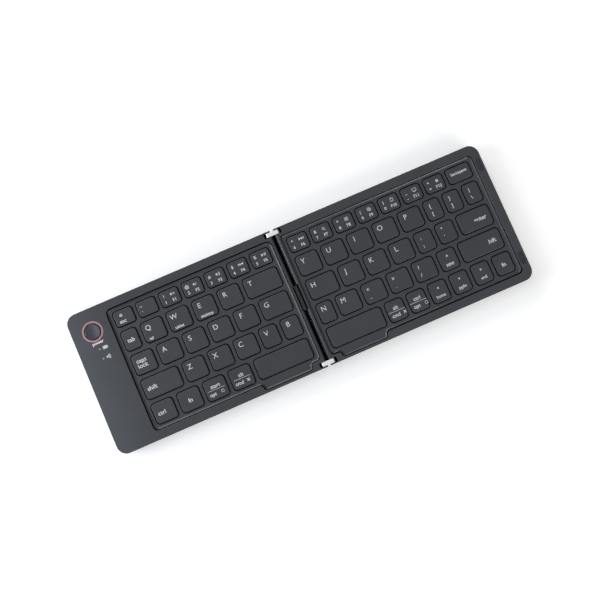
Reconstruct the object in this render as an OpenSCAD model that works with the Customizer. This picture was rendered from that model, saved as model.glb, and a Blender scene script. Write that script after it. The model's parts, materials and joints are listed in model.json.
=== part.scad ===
// Folding keyboard: two halves joined by a spine with two pins a side.
// It lies open, flat on the ground. X runs along its length, Y to the rear, Z up.
// The origin is on the ground, under the middle of the fold.
// Each half is drawn to the right of the fold, and the left one is mirrored.

/* [Case] */
// Width of the control panel beside the left keys
panel_w = 27.6; // [27:0.1:34]
// Width of the border beside the right keys
border_w = 5.9; // [5.7:0.1:9]
// Width of the borders behind and in front of the keys
border_d = 6.16; // [6.1:0.01:9]
// Height of the two covers together
shell_h = 7.4; // [7.4:0.1:9]
// Radius of the outer corners
corner_r = 7; // [5:0.5:10]
// Thickness of the outer walls
wall_t = 1.6; // [1.2:0.1:1.8]
// Thickness of the top cover's plate
top_t = 1.4; // [1.2:0.1:1.5]
// Thickness of the bottom cover's floor
floor_t = 1.2; // [1:0.1:1.4]
// Height of the bottom cover's rim above its floor
rim_h = 0.6; // [0.4:0.1:0.7]
// How far the feet stand out below the case
foot_h = 0.6; // [0.4:0.1:1.2]
// Diameter of a foot
foot_dia = 9; // [6:0.5:12]

/* [Fold] */
// Gap between the halves when open
fold_gap = 2.1; // [2:0.1:2.5]
// Gap between the top faces when folded
fold_clear = 0.2; // [0.15:0.05:0.4]
// Depth of the hinge pins below the top face
pin_depth = 2.85; // [2.75:0.05:3]
// Rounding of the top edge at the fold
fold_edge_r = 1.7; // [1.7:0.05:1.8]
// Diameter of a hinge pin
pin_dia = 1.5; // [1.2:0.1:1.8]
// Width of a hinge link, along the fold
link_w = 3; // [2:0.1:3.2]
// Radius of a link's round ends
link_r = 2.4; // [2:0.1:2.4]
// Distance from a link to the case's front or rear edge
link_inset = 1; // [0.9:0.1:1.2]
// Thickness of the wall that holds a pin's inner end
knuckle_t = 1.8; // [1.6:0.1:1.9]
// Gap between the spine bar and each half
spine_gap = 0.1; // [0.05:0.05:0.3]
// Width of the cable's hood in the middle of the spine
hood_w = 2.4; // [2:0.1:2.6]
// Length of the cable's hood along the fold
hood_len = 18.1; // [15:0.1:30]
// Width of the ribbon cable
cable_w = 12; // [8:0.5:14]

/* [Keys] */
// Width of the left field of keys
left_field_w = 115.5; // [112:0.1:125]
// Distance from the middle of the fold to the keys
field_x = 6.4; // [6.2:0.1:7]
// Depth of a letter key
key_d = 14.3; // [13.5:0.1:14.4]
// Depth of a number key
number_key_d = 10.9; // [9:0.1:11]
// Gap between a key and the key frame
key_gap = 0.55; // [0.4:0.05:0.6]
// Width of the frame's webs between rows
row_web = 2.27; // [1.8:0.01:2.4]
// Width of the frame's webs between letter keys
key_web = 2.15; // [1.8:0.05:2.6]
// Width of the frame's webs between number keys
number_web = 1.85; // [1.4:0.05:2.4]
// Corner radius of a letter key
key_r = 2.4; // [1.5:0.1:3]
// Corner radius of a number key
number_key_r = 2; // [1.2:0.1:3]
// How far the key tops lie below the case's top
key_drop = 0.25; // [0.2:0.05:0.6]
// Height of a key's skirt
key_h = 1.65; // [1.5:0.05:1.8]
// Thickness of a key's top
key_t = 0.8; // [0.7:0.05:0.9]
// How far a key travels
key_travel = 1.2; // [0.8:0.1:1.2]

/* [Key frame] */
// Width of the frame around the keys
frame_margin = 2.75; // [2.4:0.05:2.8]
// Its width between the keys and the fold
fold_margin = 3.1; // [2.4:0.05:3.15]
// Its width beside the last keys of the right half
right_margin = 3.35; // [2.4:0.05:3.5]
// Groove between the frame and the top cover
frame_groove = 0.5; // [0.2:0.05:0.5]
// How far the frame's webs lie below the case's top
frame_drop = 1; // [0.8:0.05:1.2]
// Thickness of the frame's webs
frame_t = 1.4; // [1.2:0.1:1.5]
// Width of the frame's raised lip
lip_w = 1; // [0.6:0.05:1.5]
// Height of the frame's raised lip
lip_h = 0.6; // [0.3:0.05:0.6]
// Corner radius of the opening round the frame
opening_r = 3.5; // [2.5:0.1:4]
// Distance from the fold's middle to the thumb bays
thumb_x = 10.9; // [10.8:0.1:18]
// Width of the thumb bay in front of the right space key
thumb_w = 33.6; // [20:0.1:34]
// How much wider the left thumb bay is
left_thumb_extra = 1.8; // [0:0.1:4]
// Depth of the thumb bays
thumb_d = 4.4; // [3:0.1:4.4]
// Radius of the thumb bay's corners
thumb_r = 2.1; // [1.2:0.1:2.1]

/* [Power button and lights] */
// How far the button's middle lies towards the keys from the panel's middle
button_shift = 0.6; // [-2:0.1:2]
// Distance from the rear edge to the button's middle
button_y = 15.9; // [14:0.1:17]
// Diameter of the button
button_dia = 10.8; // [9:0.1:11]
// Gap between the button and the light ring
ring_gap = 0.6; // [0.4:0.05:0.8]
// Width of the light ring
ring_w = 1.15; // [0.8:0.05:1.3]
// How far the button travels
button_travel = 0.4; // [0.3:0.1:0.6]
// Diameter of a status light
light_dia = 1.3; // [1:0.1:2]
// Distance from the rear edge to the first status light
light_y = 28.7; // [27:0.1:30]
// Distance between the two status lights
light_pitch = 6.8; // [4:0.1:8]

/* [Inside] */
// Gap on each side of the battery
battery_side = 3; // [2.9:0.1:5]
// Thickness of the battery
battery_t = 2.9; // [2:0.1:3.2]
// Thickness of the circuit boards
board_t = 0.8; // [0.6:0.1:1]
// Height of the pillars under the circuit boards
pillar_h = 1.3; // [1:0.1:1.4]
// Thickness of the rubber dome sheets
sheet_t = 0.2; // [0.15:0.05:0.3]
// Diameter of a rubber dome
dome_dia = 5.2; // [4:0.1:7]
// Width of the charging port's metal shell
port_w = 9; // [8.9:0.1:10]
// Height of the charging port's metal shell
port_h = 3.2; // [3:0.1:3.3]
// Length of the charging port's metal shell
port_l = 7.4; // [6:0.1:9]
// Distance from the rear edge to the charging port
port_y = 28.5; // [26:0.5:30]
// Length of a magnet
magnet_l = 10; // [6:0.5:14]
// Width of a bumper on the right half
bumper_w = 3; // [2:0.1:3.2]
// Length of a bumper
bumper_l = 9; // [6:0.5:12]
// Distance from a bumper's middle to the case's front or rear edge
bumper_y = 15.2; // [14:0.5:22]
// Diameter of a case screw
screw_dia = 1.4; // [1.2:0.1:1.6]
// Diameter of a screw's head
head_dia = 2.8; // [2.4:0.1:3]

/* [Hidden] */
$fn = 48;
LEFT = 0;
RIGHT = 1;
touch = 0.01; // how far a cut runs past a face
fit = 0.2; // gap between parts that are pushed together by hand
loose = 0.1; // gap round a part that drops into its hole
snug = 0.05; // gap round a part that is pressed or glued in
shaft_fit = 0.04; // gap round a shaft that turns, or a screw

top_z = foot_h + shell_h;
floor_z = foot_h + floor_t;
split_z = floor_z + rim_h;
roof_z = top_z - top_t;
field_d = number_key_d + 4 * key_d + 10 * key_gap + 4 * row_web;
opening_y = field_d / 2 + frame_margin;
opening_x = field_x - fold_margin;
left_opening_w = fold_margin + left_field_w + frame_margin;

inner_x = fold_gap / 2;
outer_x = opening_x + left_opening_w + panel_w;
half_w = outer_x - inner_x;
edge_y = opening_y + border_d;
case_d = 2 * edge_y;
right_opening_w = outer_x - border_w - opening_x;
right_field_w = right_opening_w - fold_margin - right_margin;
opening_w = [left_opening_w, right_opening_w];
field_w = [left_field_w, right_field_w];
bay_w = [thumb_w + left_thumb_extra, thumb_w];

pin_pitch = 2 * pin_depth + fold_clear;
pin_x = pin_pitch / 2;
pin_z = top_z - pin_depth;
pin_r = pin_dia / 2;
link_side = 0.25; // gap on each flat side of a link
slot_end = 0.9; // gap beyond a link's round end
slot_x = pin_x + link_r + slot_end;
link_y = edge_y - link_inset - link_w / 2; // middle of the rear link
slot_w = link_w + 2 * link_side;
knuckle_y = link_y - slot_w / 2 - knuckle_t;
knuckle_x = 10.9;
pin_end = 0.3; // wall left beyond a pin's outer end
pin_stop = 0.4; // wall left beyond its inner end
spine_w = fold_gap - 2 * spine_gap;
spine_z = foot_h + 0.3;
spine_top_z = pin_z - (pin_x - inner_x) - 0.3; // clear of the end faces when folded
notch_x = hood_w / 2 + 0.9;
hood_z = min(split_z, spine_top_z - 2 * fit) + fit; // its wide part, above the bottom covers
hood_top_z = pin_z - (pin_x - notch_x) - fit;
cable_z = floor_z + pillar_h; // level with the circuit boards
cable_t = 0.2;
channel_h = 0.5;
window_h = 1.2;

web_z = top_z - frame_drop;
frame_z = web_z - frame_t;
key_top_z = top_z - key_drop;
key_z = key_top_z - key_h;
board_z = floor_z + pillar_h;
sheet_z = board_z + board_t;
dome_z = sheet_z + sheet_t;
dome_bore_r = 1.4;
dome_wall = 0.5;
stem_r = 1;
dome_h = key_travel + 0.05;
stem_z = dome_z + key_travel + fit; // a pressed stem stops just above the sheet
skirt_t = 1.2;

left_edge_x = -outer_x;
power_x = left_edge_x + panel_w / 2 + button_shift;
power_y = edge_y - button_y;
light_ys = [for (i = [0, 1]) edge_y - light_y - i * light_pitch];
ring_r = button_dia / 2 + ring_gap + ring_w;
ring_flange = 1.1;
ring_flange_t = 0.8;
flange_reach = 0.6; // how far the button's flange reaches under the light ring
plunger_r = 1.2; // the button's pin that presses the switch
switch_w = 3;
switch_h = 0.5;
led_w = 1;
led_h = 0.4;
port_middle_y = edge_y - port_y;
port_top_gap = 0.3; // between the port and the top cover
port_z = roof_z - port_top_gap - port_h / 2;

screw_r = screw_dia / 2;
post_r = 1.9;
corner_screw = 5.5; // from the outer edges to a corner screw
edge_screw = 3; // from the front and rear edges to the other screws
post_gap = 0.26; // between a screw's post and the key frame
ledge = border_d - edge_screw - post_r - post_gap; // the frame's part under the top cover
bay_x = left_edge_x + wall_t; // the battery's bay, inside the control panel
board_reach = 5; // how far the board's arm runs past the last status light
bay_board_y = min(light_ys) - board_reach; // the front end of the board's arm
battery_front = 0.6; // gap between the battery and the corner screw's post
battery_rear = 2; // gap between the battery and the board's arm
battery_y = -edge_y + corner_screw + post_r + battery_front;
battery_size = [panel_w - wall_t - 2 * battery_side, bay_board_y - battery_rear - battery_y,
                battery_t];
head_h = 0.7;
cross = [1.8, 0.4]; // a slot of the cross in a screw's head
cross_depth = 0.3;
screw_top_z = roof_z - 1;
screw_places = [
    [8.6, edge_y - edge_screw],
    [inner_x + half_w / 2, edge_y - edge_screw],
    [outer_x - corner_screw, edge_y - corner_screw],
];
pillar_r = 1.5;
foot_in = [13, 12]; // from the case's edges to a foot's middle
foot_x = [foot_in[0], half_w - foot_in[0]];
foot_y = edge_y - foot_in[1];
foot_sunk = 0.3; // how deep a foot sits in the floor
magnet_w = 2.6;
magnet_t = 1.5;
bumper_t = 0.8;
bumper_x = outer_x - wall_t - bumper_w / 2;

case_colour = "#3d4045";
key_colour = "#3a3c40";
metal_colour = "#c9cbce";
board_colour = "#1f5a3a";
rubber_colour = "#26272a";

// The rows of keys from the rear, and the keys of each row from the fold outwards.
// A key has its width in pitches of its row, and the node that it belongs to.
left_rows = [
    [for (i = [1:7]) [1, "number_keys_left"]],
    [[1.52, "key_t"], [1, "key_r"], [1, "key_e"], [1, "key_w"], [1, "key_q"],
     [0.76, "modifier_keys_left"]],
    [[1.28, "key_g"], [1, "key_f"], [1, "key_d"], [1, "key_s"], [1, "key_a"],
     [1, "modifier_keys_left"]],
    [[0.845, "key_b"], [0.845, "key_v"], [1, "key_c"], [1, "key_x"], [1, "key_z"],
     [1.6, "modifier_keys_left"]],
    [[2.28, "space_key_left"], for (i = [1:4]) [1, "modifier_keys_left"]],
];
right_rows = [
    [for (i = [1:7]) [1, "number_keys_right"], [1.19, "number_keys_right"]],
    [[1, "key_y"], [1, "key_u"], [1, "key_i"], [1, "key_o"], [1, "key_p"],
     for (i = [1:3]) [0.765, "punctuation_keys"]],
    [[1.27, "key_h"], [1, "key_j"], [1, "key_k"], [1, "key_l"],
     for (i = [1, 2]) [0.845, "punctuation_keys"], [1.42, "enter_key"]],
    [[0.763, "key_n"], [1, "key_m"], for (i = [1:3]) [1, "punctuation_keys"],
     [0.848, "modifier_keys_right"], [1.77, "modifier_keys_right"]],
    [[2.27, "space_key_right"], for (i = [1:6]) [0.84, "modifier_keys_right"]],
];
rows = [left_rows, right_rows];

LEFT_LETTERS = [for (c = "qwertasdfgzxcvb") str("key_", c)];
RIGHT_LETTERS = [for (c = "yuiophjklnm") str("key_", c)];
KEYS = [
    concat(LEFT_LETTERS, ["number_keys_left", "modifier_keys_left", "space_key_left"]),
    concat(RIGHT_LETTERS, ["number_keys_right", "punctuation_keys", "enter_key",
                           "modifier_keys_right", "space_key_right"]),
];

// ---- Shared shapes ----

// What is drawn for the right, put on the side that is asked for
module on_side(side) {
    if (side == LEFT) mirror([1, 0, 0]) children();
    else children();
}

module in_both_ends() {
    for (end = [-1, 1]) scale_y(end) children();
}

module scale_y(end) {
    if (end < 0) mirror([0, 1, 0]) children();
    else children();
}

// A rounded rectangle from its low corner
module rounded(x, y, w, d, r) {
    translate([x, y + r]) square([w, d - 2 * r]);
    translate([x + r, y]) square([w - 2 * r, d]);
    for (i = [r, w - r], j = [r, d - r]) translate([x + i, y + j]) circle(r);
}

// The case seen from above: square at the fold, round at the outer corners
module case_2d(inset = 0) {
    r = corner_r - inset;
    x = inner_x;
    w = half_w - inset;
    d = case_d - 2 * inset;
    translate([x, -d / 2]) square([w - r, d]);
    translate([x, -d / 2 + r]) square([w, d - 2 * r]);
    for (y = [-1, 1]) translate([x + w - r, y * (d / 2 - r)]) circle(r);
}

// The room inside the case, without the blocks that hold the pins
module room_2d() {
    difference() {
        case_2d(wall_t);
        translate([0, -case_d]) square([opening_x, 2 * case_d]);
        for (y = [-case_d, knuckle_y]) translate([0, y])
            square([knuckle_x, case_d - knuckle_y]);
    }
}

// The case's walls, with the wall and the blocks at the fold
module walls_2d() {
    difference() {
        case_2d();
        room_2d();
    }
}

// The opening round the keys, with its thumb bay in front
module opening_2d(side, inset = 0) {
    rounded(opening_x + inset, -opening_y + inset, opening_w[side] - 2 * inset,
            2 * (opening_y - inset), opening_r - inset);
    bay_r = max(thumb_r - inset, 0.4);
    front = opening_y + thumb_d - inset;
    rounded(thumb_x + inset, -front, bay_w[side] - 2 * inset,
            thumb_d + 2 * bay_r + inset, bay_r);
    thumb_flank_2d(-1, thumb_x - thumb_r, inset);
    thumb_flank_2d(1, thumb_x + bay_w[side] + thumb_r, inset);
}

// The hollow curve that leads from the opening's front edge into the thumb bay
module thumb_flank_2d(end, x, inset) {
    r = thumb_r + inset;
    y = -opening_y - thumb_r;
    difference() {
        translate([end > 0 ? x - r : x, y]) square(r);
        translate([x, y]) circle(r);
    }
}

function shares(row) = [for (key = row) key[0]];
function sum(list, i = 0) = i < len(list) ? list[i] + sum(list, i + 1) : 0;
function before(list, n) = n > 0 ? list[n - 1] + before(list, n - 1) : 0;
function is_number_row(r) = r == 0;
function row_depth(r) = (is_number_row(r) ? number_key_d : key_d) + 2 * key_gap;
function row_y(r) = r < 0 ? field_d / 2 + row_web : row_y(r - 1) - row_web - row_depth(r);
function web(r) = is_number_row(r) ? number_web : key_web;
function pitch(side, r) = (field_w[side] + web(r)) / sum(shares(rows[side][r]));
function cell_x(side, r, k) = field_x + pitch(side, r) * before(shares(rows[side][r]), k);
function cell_w(side, r, k) = pitch(side, r) * rows[side][r][k][0] - web(r);
function cell_r(r) = is_number_row(r) ? number_key_r : key_r;

// The outline of one key, grown by the gap for its hole in the frame
module key_2d(side, r, k, grow = 0) {
    g = key_gap - grow;
    rounded(cell_x(side, r, k) + g, row_y(r) + g, cell_w(side, r, k) - 2 * g,
            row_depth(r) - 2 * g, cell_r(r) + grow);
}

module each_key(side) {
    for (r = [0:len(rows[side]) - 1], k = [0:len(rows[side][r]) - 1]) {
        $row = r;
        $key = k;
        $middle = [cell_x(side, r, k) + cell_w(side, r, k) / 2, row_y(r) + row_depth(r) / 2];
        children();
    }
}

module slab(z, h) {
    translate([0, 0, z]) linear_extrude(h) children();
}

module at_screws() {
    for (place = screw_places, end = [-1, 1]) translate([place[0], end * place[1], 0])
        children();
}

// ---- Covers ----

// What the fold cuts from a top cover: its rounded edge and the notch for the cable's hood
module fold_cuts() {
    difference() {
        translate([0, -case_d, top_z - fold_edge_r])
            cube([inner_x + fold_edge_r, 2 * case_d, 2 * fold_edge_r]);
        translate([inner_x + fold_edge_r, case_d + touch, top_z - fold_edge_r])
            rotate([90, 0, 0]) cylinder(r = fold_edge_r, h = 2 * case_d + 2 * touch);
    }
    notch_y = hood_len / 2 + fit + loose;
    translate([0, -notch_y, split_z - touch]) cube([notch_x, 2 * notch_y, shell_h]);
}

// The slots for the links, with the bores that the pins turn in
module hinge_cuts() {
    in_both_ends() {
        translate([0, link_y - slot_w / 2, split_z]) cube([slot_x, slot_w, shell_h]);
        translate([pin_x, edge_y - pin_end, pin_z]) rotate([90, 0, 0])
            cylinder(r = pin_r + shaft_fit, h = edge_y - pin_end - knuckle_y - pin_stop);
    }
}

module top_cover(side) {
    color(case_colour) on_side(side) difference() {
        union() {
            slab(split_z, roof_z - split_z) walls_2d();
            slab(roof_z, top_t) case_2d();
            at_screws() slab(split_z, roof_z - split_z + touch) circle(post_r);
        }
        slab(frame_z - fit, top_z - frame_z + 1) opening_2d(side);
        fold_cuts();
        hinge_cuts();
        translate([0, -cable_w / 2 - fit, split_z - touch])
            cube([opening_x + 1, cable_w + 2 * fit, window_h]);
        at_screws() slab(split_z - touch, screw_top_z - split_z + fit)
            circle(screw_r + shaft_fit);
        if (side == LEFT) left_cover_holes();
        if (side == RIGHT) in_both_ends() slab(top_z - bumper_t, top_t) bumper_2d(loose);
    }
}

// The holes for the light ring, the status lights and the charging port
module left_cover_holes() {
    mirror([1, 0, 0]) {
        translate([power_x, power_y, 0]) cylinder(r = ring_r + loose, h = 2 * top_z);
        for (y = light_ys) translate([power_x, y, 0])
            cylinder(r = light_dia / 2 + snug, h = 2 * top_z);
        translate([left_edge_x - 1, 0, 0]) port_slab(2 * wall_t, fit);
    }
}

// The bumper on the right border, nearest the rear
module bumper_2d(grow = 0) {
    w = bumper_w + 2 * grow;
    l = bumper_l + 2 * grow;
    rounded(bumper_x - w / 2, edge_y - bumper_y - l / 2, w, l, w / 2 - touch);
}

module bottom_cover(side) {
    color(case_colour) on_side(side) difference() {
        union() {
            slab(foot_h, floor_t) case_2d();
            slab(floor_z, rim_h) walls_2d();
            at_screws() slab(floor_z - touch, rim_h + touch) circle(post_r);
            for (place = pillar_places(side)) translate(place)
                slab(floor_z - touch, pillar_h + touch) circle(pillar_r);
        }
        at_screws() {
            cylinder(r = screw_r + shaft_fit, h = split_z + 1);
            cylinder(r = head_dia / 2 + loose, h = foot_h + loose + head_h);
        }
        at_feet() cylinder(r = foot_dia / 2 + touch, h = foot_h + foot_sunk);
    }
}

// The pillars under the board's middle, and on the left under its arm
function pillar_places(side) = [
    for (part = [0.15, 0.5, 0.85], end = [-1, 1])
        [field_x + part * field_w[side], end * field_d / 4],
    if (side == LEFT) each [[-power_x, power_y], [-power_x, bay_board_y + 2.5]],
];

module at_feet() {
    for (x = foot_x, y = [-foot_y, foot_y]) translate([inner_x + x, y, 0]) children();
}

module feet(side) {
    color(rubber_colour) on_side(side) at_feet()
        cylinder(r = foot_dia / 2, h = foot_h + foot_sunk);
}

module screws(side) {
    color(metal_colour) on_side(side) at_screws() difference() {
        union() {
            slab(foot_h + loose, head_h) circle(head_dia / 2);
            slab(foot_h + head_h, screw_top_z - foot_h - head_h) circle(screw_r);
        }
        for (turn = [0, 90]) rotate(turn) slab(0, foot_h + loose + cross_depth)
            square(cross, center = true);
    }
}

// ---- Keys ----

module key_frame(side) {
    color(case_colour) on_side(side) difference() {
        union() {
            slab(frame_z, frame_t) opening_2d(side, frame_groove);
            slab(frame_z, roof_z - frame_z) ledge_2d(side);
            slab(web_z - touch, lip_h + touch) difference() {
                opening_2d(side, frame_groove);
                opening_2d(side, frame_groove + lip_w);
            }
        }
        each_key(side) slab(frame_z - touch, frame_t + lip_h)
            key_2d(side, $row, $key, key_gap);
    }
}

// The part of the frame that is held under the top cover's plate
module ledge_2d(side) {
    start = knuckle_x + 1;
    end = opening_x + opening_w[side];
    long = [end - opening_r - start, opening_y + ledge];
    wide = [end + ledge - start, opening_y - opening_r];
    for (half = [long, wide])
        translate([start, -half[1]]) square([half[0], 2 * half[1]]);
}

// One key cap: a plate with a skirt, and a stem that presses the dome
module key_cap(side) {
    slab(key_top_z - key_t, key_t) key_2d(side, $row, $key);
    slab(key_z, key_h - key_t + touch) difference() {
        key_2d(side, $row, $key);
        key_2d(side, $row, $key, -skirt_t);
    }
    translate([$middle[0], $middle[1], stem_z])
        cylinder(r = stem_r, h = key_top_z - key_t - stem_z + touch);
}

module keys(side, name) {
    color(key_colour) on_side(side) each_key(side)
        if (rows[side][$row][$key][1] == name) key_cap(side);
}

module dome_sheet(side) {
    color("#d8dadc") on_side(side) {
        slab(sheet_z, sheet_t) difference() {
            translate([field_x, -field_d / 2]) square([field_w[side], field_d]);
            each_key(side) translate($middle) circle(dome_bore_r);
        }
        each_key(side) translate([$middle[0], $middle[1], dome_z - touch])
            rotate_extrude() polygon([
                [dome_bore_r, 0], [dome_dia / 2, 0],
                [dome_bore_r + dome_wall, dome_h + touch], [dome_bore_r, dome_h + touch],
            ]);
    }
}

// ---- Electronics ----

module circuit_board(side) {
    color(board_colour) on_side(side) {
        slab(board_z, board_t) difference() {
            union() {
                translate([opening_x + fit, -field_d / 2])
                    square([field_x - opening_x + field_w[side], field_d]);
                if (side == LEFT) bay_board_2d();
            }
            if (side == LEFT) translate([-left_edge_x - port_l - 1, port_middle_y - port_w / 2 - fit])
                square([port_l + 1, port_w + 2 * fit]);
        }
        translate([notch_x + fit, -cable_w / 2, cable_z])
            cube([opening_x + fit - notch_x, cable_w, cable_t]);
        if (side == LEFT) mirror([1, 0, 0]) {
            translate([power_x, power_y, sheet_z - touch]) slab(0, switch_h) square(switch_w, center = true);
            for (y = light_ys) translate([power_x, y, sheet_z - touch])
                slab(0, led_h) square(led_w, center = true);
        }
    }
}

// The board's arm beside the keys, under the power button
module bay_board_2d() {
    x = field_x + left_field_w - 1;
    w = outer_x - wall_t - fit - x;
    rear = power_y + ring_r + fit;
    translate([x, bay_board_y]) square([w, rear - bay_board_y]);
}

module battery() {
    color("#8f9498") translate([bay_x + battery_side, battery_y, floor_z]) cube(battery_size);
}

module power_button() {
    flange_t = 0.5;
    flange_z = roof_z - ring_flange_t - loose - flange_t;
    color("#1b1d22") translate([power_x, power_y, 0]) {
        slab(flange_z, key_top_z - flange_z) circle(button_dia / 2);
        slab(flange_z, flange_t) circle(ring_r - ring_w + flange_reach);
        slab(sheet_z + switch_h + button_travel + snug,
             flange_z - sheet_z - switch_h - button_travel) circle(plunger_r);
    }
}

module button_ring() {
    color("#e58f98") translate([power_x, power_y, 0]) difference() {
        union() {
            slab(roof_z - touch, top_t) circle(ring_r);
            slab(roof_z - ring_flange_t, ring_flange_t) circle(ring_r + ring_flange);
        }
        cylinder(r = ring_r - ring_w, h = 2 * top_z);
    }
}

module status_lights() {
    color("#f2f4f6") for (y = light_ys) translate([power_x, y, 0])
        slab(sheet_z + led_h, top_z - sheet_z - led_h - snug) circle(light_dia / 2);
}

// A rounded slot of the port's shape, extruded along X
module port_slab(l, grow) {
    w = port_w + 2 * grow;
    h = port_h + 2 * grow;
    translate([0, port_middle_y, port_z]) rotate([90, 0, 90]) linear_extrude(l) {
        square([w - h, h], center = true);
        for (x = [-1, 1]) translate([x * (w - h) / 2, 0]) circle(h / 2);
    }
}

module charging_port() {
    shell_t = 0.3;
    tongue = [4.6, port_w - 2.3, 0.7]; // its length, width and thickness
    color(metal_colour) translate([left_edge_x + fit, 0, 0]) {
        difference() {
            port_slab(port_l, 0);
            translate([-touch, 0, 0]) port_slab(port_l - 1, -shell_t);
        }
        translate([port_l - 1 - tongue[0], port_middle_y - tongue[1] / 2, port_z - tongue[2] / 2])
            cube([tongue[0] + touch, tongue[1], tongue[2]]);
    }
}

module magnets(side) {
    color("#9da1a6") on_side(side) for (y = [-1, 1])
        translate([outer_x - wall_t - fit - magnet_w, y * (edge_y - bumper_y) - magnet_l / 2,
                   roof_z - magnet_t])
            cube([magnet_w, magnet_l, magnet_t]);
}

module bumpers() {
    color(rubber_colour) in_both_ends() slab(top_z - bumper_t, bumper_t - snug) bumper_2d();
}

// ---- Fold ----

module hinge_links() {
    color(metal_colour) in_both_ends() difference() {
        translate([0, link_y + link_w / 2, pin_z]) rotate([90, 0, 0]) linear_extrude(link_w) {
            square([pin_pitch, 2 * link_r], center = true);
            for (x = [-pin_x, pin_x]) translate([x, 0]) circle(link_r);
            translate([-spine_w / 2, spine_z - pin_z]) square([spine_w, pin_z - spine_z]);
        }
        for (x = [-pin_x, pin_x]) translate([x, edge_y, pin_z]) rotate([90, 0, 0])
            cylinder(r = pin_r + touch, h = 2 * link_w);
    }
}

module hinge_pins() {
    color(metal_colour) in_both_ends() for (x = [-pin_x, pin_x])
        translate([x, edge_y - pin_end - snug, pin_z]) rotate([90, 0, 0])
            cylinder(r = pin_r, h = edge_y - pin_end - knuckle_y - pin_stop - 2 * snug);
}

module spine_cover() {
    bar_l = 2 * (link_y - link_w / 2);
    color(case_colour) difference() {
        union() {
            translate([-spine_w / 2, -bar_l / 2, spine_z])
                cube([spine_w, bar_l, spine_top_z - spine_z]);
            slab(hood_z, hood_top_z - hood_z)
                rounded(-hood_w / 2, -hood_len / 2, hood_w, hood_len, hood_w / 2 - touch);
        }
        translate([-hood_w, -cable_w / 2 - fit, cable_z])
            cube([2 * hood_w, cable_w + 2 * fit, channel_h]);
    }
}

module ribbon_cable() {
    color("#c9923a") translate([-hood_w / 2, -cable_w / 2, cable_z])
        cube([hood_w, cable_w, cable_t]);
}

top_cover(LEFT);  // left_top_cover
bottom_cover(LEFT);  // left_bottom_cover
key_frame(LEFT);  // left_key_frame
circuit_board(LEFT);  // left_circuit_board
dome_sheet(LEFT);  // left_dome_sheet
battery();
power_button();
button_ring();
status_lights();
charging_port();
magnets(LEFT);  // left_magnets
screws(LEFT);  // left_screws
feet(LEFT);  // left_feet
top_cover(RIGHT);  // right_top_cover
bottom_cover(RIGHT);  // right_bottom_cover
key_frame(RIGHT);  // right_key_frame
circuit_board(RIGHT);  // right_circuit_board
dome_sheet(RIGHT);  // right_dome_sheet
magnets(RIGHT);  // right_magnets
bumpers();  // right_bumpers
screws(RIGHT);  // right_screws
feet(RIGHT);  // right_feet
hinge_links();
hinge_pins();
spine_cover();
ribbon_cable();
for (side = [LEFT, RIGHT], name = KEYS[side])
    keys(side, name);
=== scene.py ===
# %% [markdown]
# # A folding keyboard, finished over its CAD frame
# The CAD model holds every part at its real size. This lesson gives each visible part the
# soft edges, the printed signs and the surface that the real one has, then lights it.
# Everything is in metres, in the CAD's own frame: X along the keyboard, Y to the rear, Z up.

# %% Load the frame
import bmesh
import bpy
import json
from math import cos, pi, radians, sin, sqrt
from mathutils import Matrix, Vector

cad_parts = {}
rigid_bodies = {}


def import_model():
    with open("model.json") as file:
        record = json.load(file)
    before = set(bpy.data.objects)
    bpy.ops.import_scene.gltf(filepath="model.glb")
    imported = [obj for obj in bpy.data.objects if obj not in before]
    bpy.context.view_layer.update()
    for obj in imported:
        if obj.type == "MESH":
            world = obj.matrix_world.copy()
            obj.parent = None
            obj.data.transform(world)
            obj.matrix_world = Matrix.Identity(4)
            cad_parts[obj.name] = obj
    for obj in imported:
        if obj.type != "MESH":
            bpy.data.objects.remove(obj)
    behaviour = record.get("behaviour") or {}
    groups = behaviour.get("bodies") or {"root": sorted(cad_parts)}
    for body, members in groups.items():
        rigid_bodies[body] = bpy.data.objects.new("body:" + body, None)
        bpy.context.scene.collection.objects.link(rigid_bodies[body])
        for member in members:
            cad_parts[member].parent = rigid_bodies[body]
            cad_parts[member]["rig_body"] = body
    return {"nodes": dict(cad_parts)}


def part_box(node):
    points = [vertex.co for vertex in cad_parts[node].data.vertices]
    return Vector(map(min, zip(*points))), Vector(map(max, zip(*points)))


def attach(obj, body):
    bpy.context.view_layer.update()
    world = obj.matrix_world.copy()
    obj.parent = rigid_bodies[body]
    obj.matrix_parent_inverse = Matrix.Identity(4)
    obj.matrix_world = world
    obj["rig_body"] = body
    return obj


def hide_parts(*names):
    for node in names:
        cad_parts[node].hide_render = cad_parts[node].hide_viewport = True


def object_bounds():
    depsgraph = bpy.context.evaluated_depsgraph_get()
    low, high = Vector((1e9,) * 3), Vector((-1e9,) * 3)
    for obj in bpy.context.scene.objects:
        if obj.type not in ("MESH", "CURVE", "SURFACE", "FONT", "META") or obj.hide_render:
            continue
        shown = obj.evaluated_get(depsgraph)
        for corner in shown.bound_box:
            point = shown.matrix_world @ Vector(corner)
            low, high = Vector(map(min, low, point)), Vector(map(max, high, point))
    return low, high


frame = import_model()
cad_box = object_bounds()
MM = 0.001
print("CAD size in mm:", [round(side / MM, 1) for side in cad_box[1] - cad_box[0]])

# %% [markdown]
# Colours are written the way a paint shop would measure them on the finished part, as sRGB
# hex codes. The renderer adds up light, so it needs linear values, and one function turns
# one into the other. A second small function adds a shader node with its settings and links.


# %% Colour and node helpers
def linear(code):
    """The linear colour of an sRGB hex code such as #808080."""
    channels = [int(code[i:i + 2], 16) / 255 for i in (1, 3, 5)]
    mixed = [c / 12.92 if c < 0.0405 else ((c + 0.055) / 1.055) ** 2.4 for c in channels]
    return (*mixed, 1)


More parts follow.
